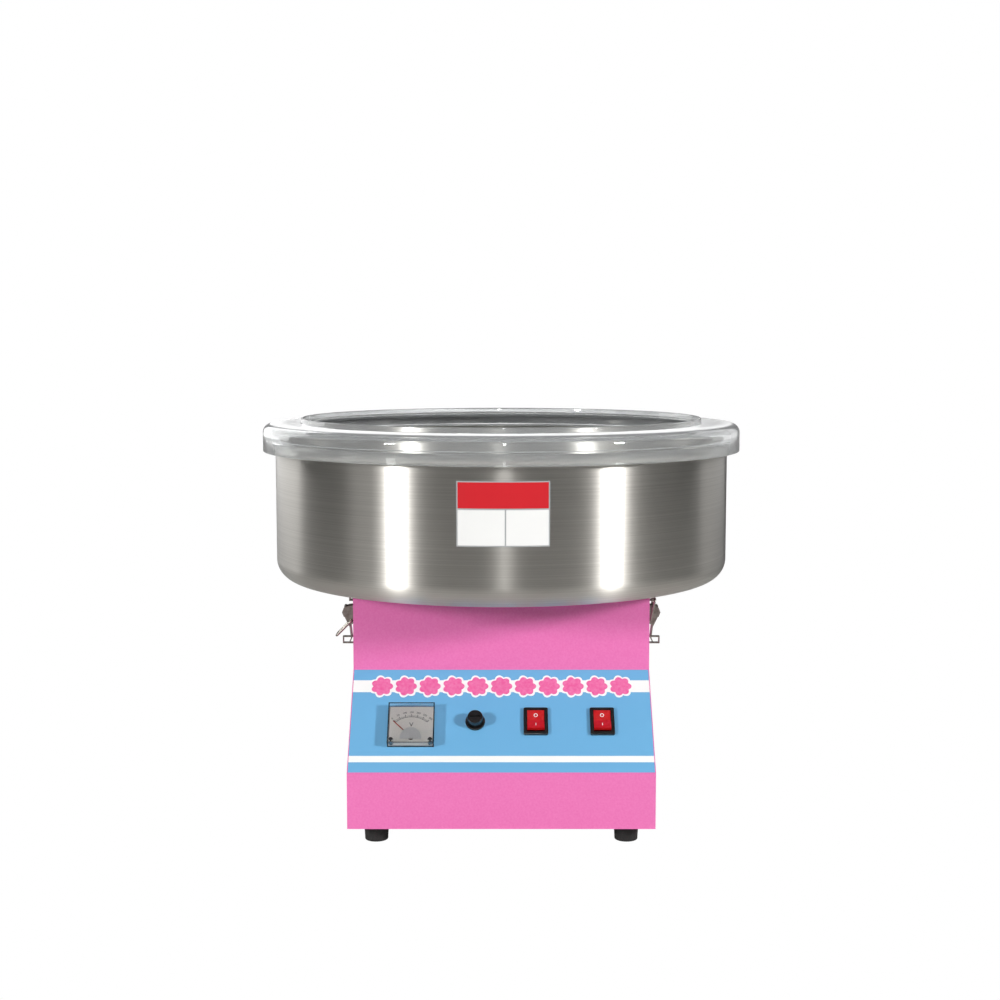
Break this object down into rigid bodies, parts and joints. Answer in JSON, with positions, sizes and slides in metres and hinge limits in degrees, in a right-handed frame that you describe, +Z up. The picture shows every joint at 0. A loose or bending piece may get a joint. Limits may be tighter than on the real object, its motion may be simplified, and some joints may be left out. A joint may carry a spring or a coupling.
{
  "type": "candy floss machine",
  "caption": "Table-top electric candy floss machine: painted cabinet with slanted control panel, stainless bowl held by side latches, clear rim guard, spinning heated head.",
  "frame": {"origin": "on the floor, on the spindle's axis, which is the middle of the bowl and of the whole box", "axes": "+Z up along the spindle, -Y out of the front with the control panel, +X to the right as seen from the front"},
  "size_m": [0.5399, 0.54, 0.4362],
  "materials": {
    "pink_paint": "satin powder coat",
    "printed_vinyl": "satin printed film",
    "plain_steel": "zinc-plated sheet",
    "screw_steel": "bright zinc-plated",
    "stainless": "brushed",
    "clear_plastic": "polished clear",
    "black_rubber": "matte",
    "black_plastic": "moulded",
    "black_gloss": "moulded gloss",
    "red_plastic": "translucent moulded",
    "white_card": "printed dial",
    "latch_steel": "nickel-plated",
    "cast_aluminium": "cast and turned",
    "brass": "plain",
    "carbon": "sintered",
    "copper_winding": "enamelled wire and steel laminations",
    "glass_tube": "clear"
  },
  "bodies": {
    "cabinet": {"cabinet_shell": "pink_paint", "foot_front_left": "black_rubber", "foot_front_right": "black_rubber", "foot_rear_left": "black_rubber", "foot_rear_right": "black_rubber", "base_plate": "plain_steel", "foot_screws": "screw_steel", "base_screws": "screw_steel", "top_plate": "pink_paint", "bowl_gasket": "black_rubber", "rear_cover": "pink_paint", "mains_inlet": "black_plastic", "inlet_pins": "brass", "rear_screws": "screw_steel", "panel_overlay": "printed_vinyl", "meter_case": "black_plastic", "meter_dial": "white_card", "meter_window": "clear_plastic", "meter_screws": "black_plastic", "fuse_holder": "black_gloss", "heat_switch_body": "black_gloss", "power_switch_body": "black_gloss", "switch_terminals": "brass", "right_latch_base": "latch_steel", "left_latch_base": "latch_steel", "latch_pins": "latch_steel", "latch_rivets": "latch_steel", "motor_bracket": "plain_steel", "motor_end_bell": "cast_aluminium", "motor_screws": "screw_steel", "motor_housing": "plain_steel", "motor_stator": "copper_winding", "motor_bearings": "screw_steel", "brush_holder": "black_plastic", "carbon_brushes": "carbon"},
    "spinner": {"spindle": "screw_steel", "motor_rotor": "plain_steel", "cooling_fan": "black_plastic", "slip_ring_drum": "black_plastic", "slip_rings": "brass", "spinner_base": "cast_aluminium", "heating_element": "stainless", "spinner_band": "stainless", "spinner_cap": "cast_aluminium", "spinner_screws": "screw_steel"},
    "bowl": {"bowl": "stainless", "left_catch": "latch_steel", "right_catch": "latch_steel", "catch_rivets": "latch_steel"},
    "guard": {"rim_guard": "clear_plastic"},
    "heat_switch": {"heat_rocker": "red_plastic"},
    "power_switch": {"power_rocker": "red_plastic"},
    "fuse": {"fuse_cap": "black_gloss", "fuse_link": "glass_tube"},
    "needle": {"meter_needle": "red_plastic"},
    "left_lever": {"left_latch_lever": "latch_steel"},
    "left_bail": {"left_latch_bail": "latch_steel"},
    "right_lever": {"right_latch_lever": "latch_steel"},
    "right_bail": {"right_latch_bail": "latch_steel"}
  },
  "joints": [
    {"name": "spinner_spin", "type": "hinge", "parent": "cabinet", "child": "spinner", "pos_m": [0, 0, 0.048], "axis": [0, 0, 1], "continuous": true},
    {"name": "bowl_lift", "type": "slide", "parent": "cabinet", "child": "bowl", "axis": [0, 0, 1], "range_m": [0, 0.12]},
    {"name": "guard_lift", "type": "slide", "parent": "bowl", "child": "guard", "axis": [0, 0, 1], "range_m": [0, 0.06]},
    {"name": "heat_switch_rock", "type": "hinge", "parent": "cabinet", "child": "heat_switch", "pos_m": [0.0364, -0.17204, 0.12102], "axis": [1, 0, 0], "range_deg": [0, 18]},
    {"name": "power_switch_rock", "type": "hinge", "parent": "cabinet", "child": "power_switch", "pos_m": [0.1066, -0.17204, 0.12102], "axis": [1, 0, 0], "range_deg": [0, 18]},
    {"name": "fuse_pull", "type": "slide", "parent": "cabinet", "child": "fuse", "axis": [0, -0.711, 0.7032], "range_m": [0, 0.035]},
    {"name": "needle_swing", "type": "hinge", "parent": "cabinet", "child": "needle", "pos_m": [-0.095, -0.18938, 0.11004], "axis": [0, 0.711, -0.7032], "range_deg": [0, 90], "stiffness_Nm_per_rad": 0.0001},
    {"name": "left_lever_swing", "type": "hinge", "parent": "cabinet", "child": "left_lever", "pos_m": [-0.176, 0, 0.211], "axis": [0, 1, 0], "range_deg": [0, 130]},
    {"name": "left_bail_swing", "type": "hinge", "parent": "left_lever", "child": "left_bail", "pos_m": [-0.172, 0, 0.202], "axis": [0, 1, 0], "range_deg": [-12, 122.96]},
    {"name": "right_lever_swing", "type": "hinge", "parent": "cabinet", "child": "right_lever", "pos_m": [0.176, 0, 0.211], "axis": [0, -1, 0], "range_deg": [0, 130]},
    {"name": "right_bail_swing", "type": "hinge", "parent": "right_lever", "child": "right_bail", "pos_m": [0.172, 0, 0.202], "axis": [0, -1, 0], "range_deg": [-130, 0]}
  ],
  "couplings": [
    {"joint": "right_bail_swing", "follows": "right_lever_swing", "ratio": -1}
  ]
}
